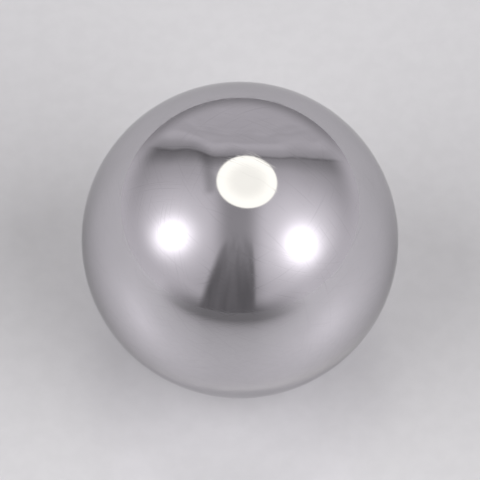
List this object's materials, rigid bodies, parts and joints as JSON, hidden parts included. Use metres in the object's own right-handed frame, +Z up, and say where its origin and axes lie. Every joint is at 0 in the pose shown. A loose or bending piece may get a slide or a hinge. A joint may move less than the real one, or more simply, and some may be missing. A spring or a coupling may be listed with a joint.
{
  "type": "steel ball",
  "caption": "Solid, mirror-polished steel ball of a precision bearing size, ground to a true sphere all over.",
  "frame": {"origin": "centre of the ball", "axes": "+Z up; every axis through the centre is an axis of symmetry"},
  "size_m": [0.019, 0.019, 0.019],
  "materials": {
    "polished_steel": "ground and lapped to a mirror polish"
  },
  "bodies": {
    "root": {"ball": "polished_steel"}
  },
  "joints": []
}
